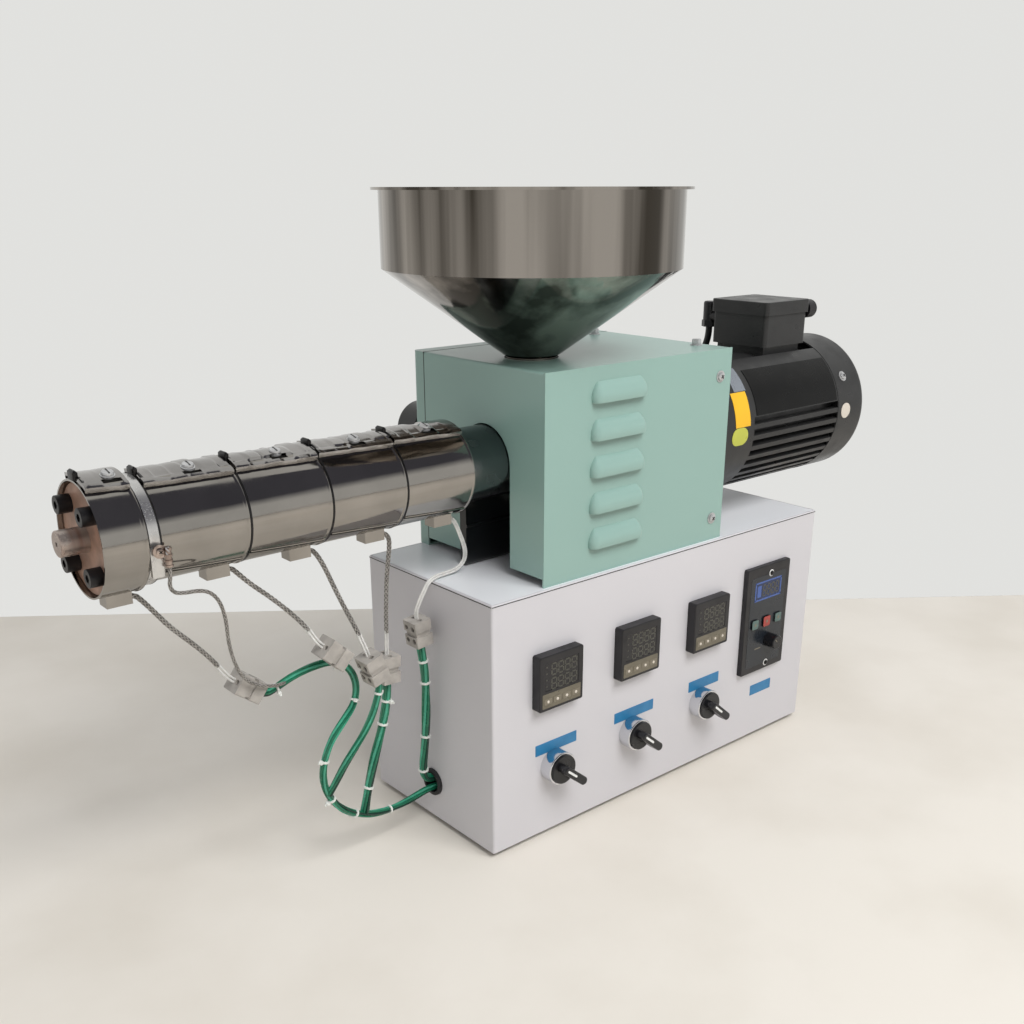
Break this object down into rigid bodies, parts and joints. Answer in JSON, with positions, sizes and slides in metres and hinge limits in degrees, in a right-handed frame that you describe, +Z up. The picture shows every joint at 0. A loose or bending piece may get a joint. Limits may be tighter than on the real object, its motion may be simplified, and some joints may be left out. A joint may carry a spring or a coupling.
{
  "type": "bench-top single-screw mini plastic extruder",
  "caption": "Bench-top mini plastic extruder: control cabinet, green drive housing, stainless feed hopper, heated barrel with a strand die, and a finned motor.",
  "frame": {"origin": "centre of the underside of the base plate under the control cabinet", "axes": "+X along the barrel from the die to the motor, -Y the side of the control panel, +Z up"},
  "size_m": [0.7747, 0.246, 0.5175],
  "materials": {
    "base_black": "dark recessed base",
    "cabinet_grey": "satin light grey powder coat",
    "cabinet_top_white": "satin white powder coat",
    "black_rubber": "matt",
    "black_plastic": "fine matt moulded",
    "switch_black": "satin",
    "chrome_trim": "polished",
    "mint_paint": "glossy mint green paint",
    "gloss_black": "gloss",
    "polished_stainless": "polished, with fine hoop marks",
    "band_stainless": "mirror-bright sheet, slightly wrinkled",
    "machined_steel": "machined",
    "dark_steel": "turned, dark",
    "heated_steel": "straw-brown from heat",
    "bright_steel": "turned bright",
    "black_oxide": "black oxide",
    "gloss_black_paint": "gloss black paint",
    "motor_black": "satin black paint",
    "black_cable": "matt",
    "lead_sleeve": "woven steel sleeve",
    "white_ceramic": "unglazed white ceramic",
    "green_wire": "green insulation"
  },
  "bodies": {
    "root": {"base_plate": "base_black", "cabinet_shell": "cabinet_grey", "cabinet_top_plate": "cabinet_top_white", "cable_grommet": "black_rubber", "temperature_controller_1": "black_plastic", "temperature_controller_2": "black_plastic", "temperature_controller_3": "black_plastic", "switch_collar_1": "chrome_trim", "switch_collar_2": "chrome_trim", "switch_collar_3": "chrome_trim", "speed_controller": "black_plastic", "housing_cover": "mint_paint", "front_cover": "mint_paint", "back_cover": "mint_paint", "rear_cap": "gloss_black", "hopper": "polished_stainless", "feed_throat": "machined_steel", "barrel": "dark_steel", "die_head": "heated_steel", "nozzle": "bright_steel", "die_bolts": "black_oxide", "thermocouple_strap": "band_stainless", "thermocouple": "bright_steel", "barrel_support": "gloss_black_paint", "gearbox": "gloss_black_paint", "motor_body": "motor_black", "motor_fan_cover": "motor_black", "terminal_box": "motor_black", "terminal_box_lid": "motor_black", "blanking_plug": "black_plastic", "motor_cable_gland": "black_plastic", "motor_cable": "black_cable", "motor_cable_grommet": "black_rubber", "thermocouple_lead": "lead_sleeve", "band_heater_1": "band_stainless", "heater_lead_1": "lead_sleeve", "band_heater_2": "band_stainless", "heater_lead_2": "lead_sleeve", "band_heater_3": "band_stainless", "heater_lead_3": "lead_sleeve", "band_heater_4": "band_stainless", "heater_lead_4": "lead_sleeve", "band_heater_5": "band_stainless", "heater_lead_5": "lead_sleeve", "connector_block_a": "white_ceramic", "connector_block_b": "white_ceramic", "connector_block_c": "white_ceramic", "connector_block_d": "white_ceramic", "connector_block_e": "white_ceramic", "wire_bundle_a": "green_wire", "wire_bundle_c": "green_wire", "wire_bundle_d": "green_wire", "wire_bundle_e": "green_wire"},
    "switch_1": {"switch_handle_1": "switch_black"},
    "switch_2": {"switch_handle_2": "switch_black"},
    "switch_3": {"switch_handle_3": "switch_black"},
    "knob": {"speed_knob": "switch_black"}
  },
  "joints": [
    {"name": "switch_1_turn", "type": "hinge", "parent": "root", "child": "switch_1", "pos_m": [-0.1397, -0.095, 0.0655], "axis": [0, -1, 0], "range_deg": [0, 90]},
    {"name": "switch_2_turn", "type": "hinge", "parent": "root", "child": "switch_2", "pos_m": [-0.0467, -0.095, 0.0655], "axis": [0, -1, 0], "range_deg": [0, 90]},
    {"name": "switch_3_turn", "type": "hinge", "parent": "root", "child": "switch_3", "pos_m": [0.0463, -0.095, 0.0655], "axis": [0, -1, 0], "range_deg": [0, 90]},
    {"name": "speed_knob_turn", "type": "hinge", "parent": "root", "child": "knob", "pos_m": [0.1375, -0.088, 0.106], "axis": [0, 1, 0], "range_deg": [0, 270]}
  ]
}
